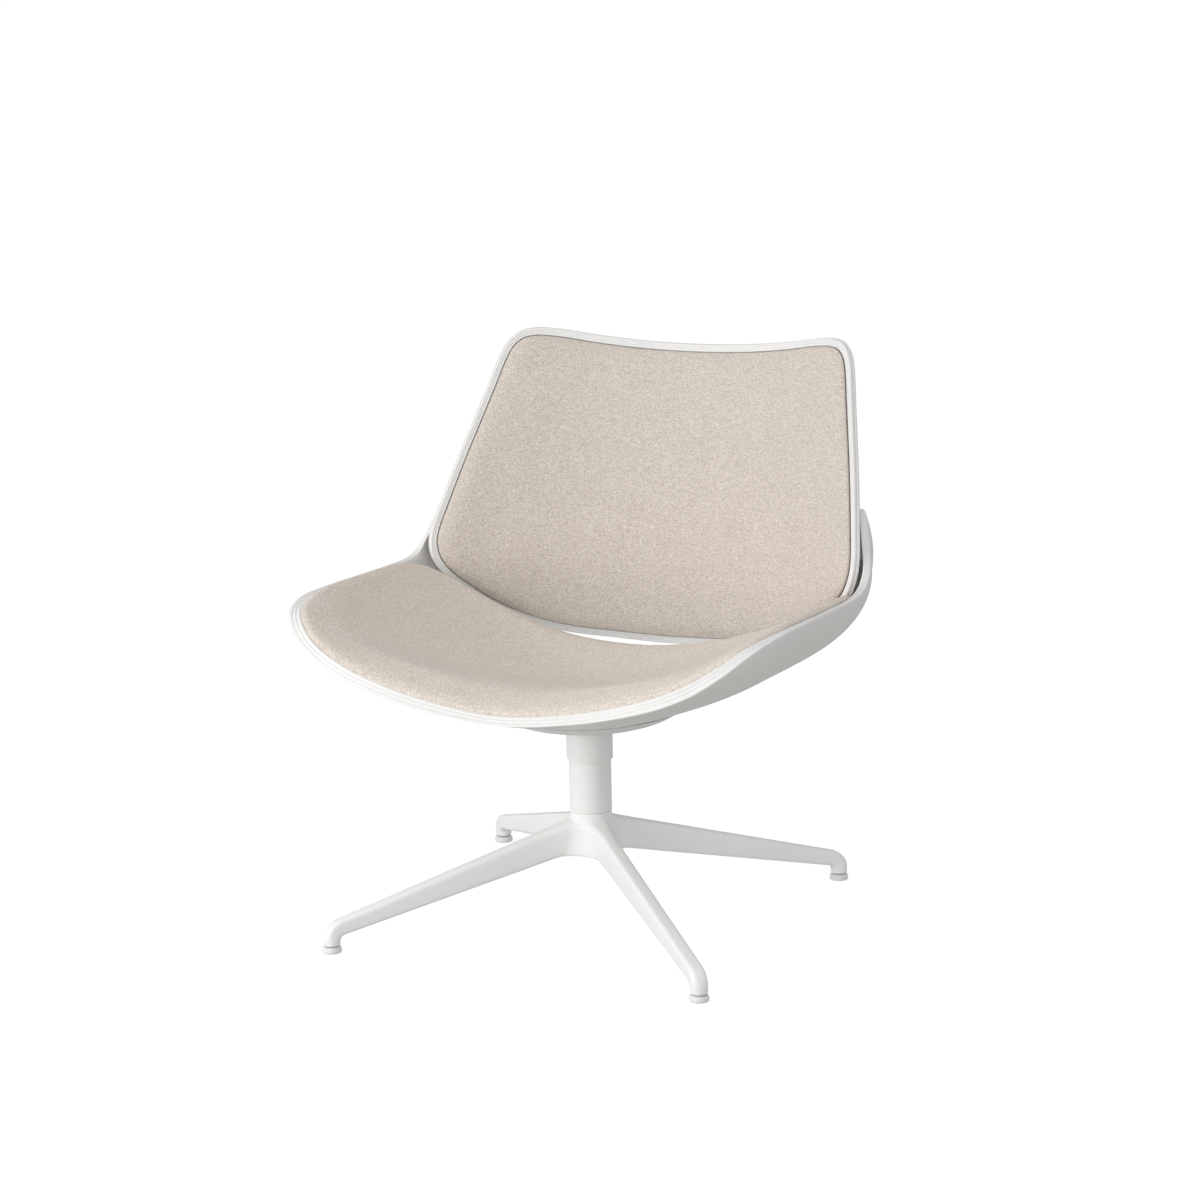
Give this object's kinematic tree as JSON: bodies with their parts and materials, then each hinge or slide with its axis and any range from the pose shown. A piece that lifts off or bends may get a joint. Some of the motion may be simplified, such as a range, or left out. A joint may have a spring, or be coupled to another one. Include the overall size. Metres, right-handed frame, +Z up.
{
  "type": "pedestal swivel armchair",
  "caption": "Upholstered swivel lounge chair: moulded seat shell with low side wings, separate padded back, column and cross base.",
  "frame": {"origin": "on the floor, under the middle of the chair's width and depth", "axes": "+Z up, the chair faces -Y, +X towards the right as seen from the front"},
  "size_m": [0.7266, 0.727, 0.7881],
  "materials": {
    "painted_base": "satin",
    "shell_plastic": "satin",
    "glide_plastic": "matte",
    "bush_plastic": "matte",
    "plain_steel": "satin",
    "insert_brass": "satin",
    "spacer_rubber": "matte",
    "board_plywood": "matte",
    "woven_fabric": "matte"
  },
  "bodies": {
    "base": {"star_base": "painted_base", "foot_inserts": "insert_brass", "column_plug": "plain_steel", "hub_bolt": "plain_steel", "hub_washer": "plain_steel", "column_tube": "painted_base", "lower_bush": "bush_plastic", "upper_bush": "bush_plastic", "thrust_washer": "bush_plastic"},
    "seat": {"spindle": "plain_steel", "retaining_washer": "plain_steel", "retaining_ring": "plain_steel", "column_sleeve": "painted_base", "seat_plate": "plain_steel", "seat_plate_screws": "plain_steel", "shell_inserts": "insert_brass", "under_seat_cover": "shell_plastic", "cover_screws": "plain_steel", "seat_shell": "shell_plastic", "seat_board": "board_plywood", "seat_board_screws": "plain_steel", "seat_pad": "woven_fabric", "back_shell": "shell_plastic", "back_frame": "shell_plastic", "back_board": "board_plywood", "back_pad_clips": "bush_plastic", "back_pad": "woven_fabric", "wing_spacers": "spacer_rubber", "wing_inserts": "insert_brass", "wing_bolts": "plain_steel", "wing_caps": "shell_plastic"},
    "glide_front_left_body": {"glide_front_left": "glide_plastic", "stud_front_left": "plain_steel"},
    "glide_front_right_body": {"glide_front_right": "glide_plastic", "stud_front_right": "plain_steel"},
    "glide_rear_left_body": {"glide_rear_left": "glide_plastic", "stud_rear_left": "plain_steel"},
    "glide_rear_right_body": {"glide_rear_right": "glide_plastic", "stud_rear_right": "plain_steel"}
  },
  "joints": [
    {"name": "swivel", "type": "hinge", "parent": "base", "child": "seat", "pos_m": [0, -0.06618, 0.294], "axis": [0, 0, 1], "continuous": true},
    {"name": "level_front_left", "type": "slide", "parent": "base", "child": "glide_front_left_body", "axis": [0, 0, -1], "range_m": [0, 0.007]},
    {"name": "level_front_right", "type": "slide", "parent": "base", "child": "glide_front_right_body", "axis": [0, 0, -1], "range_m": [0, 0.007]},
    {"name": "level_rear_left", "type": "slide", "parent": "base", "child": "glide_rear_left_body", "axis": [0, 0, -1], "range_m": [0, 0.007]},
    {"name": "level_rear_right", "type": "slide", "parent": "base", "child": "glide_rear_right_body", "axis": [0, 0, -1], "range_m": [0, 0.007]}
  ]
}
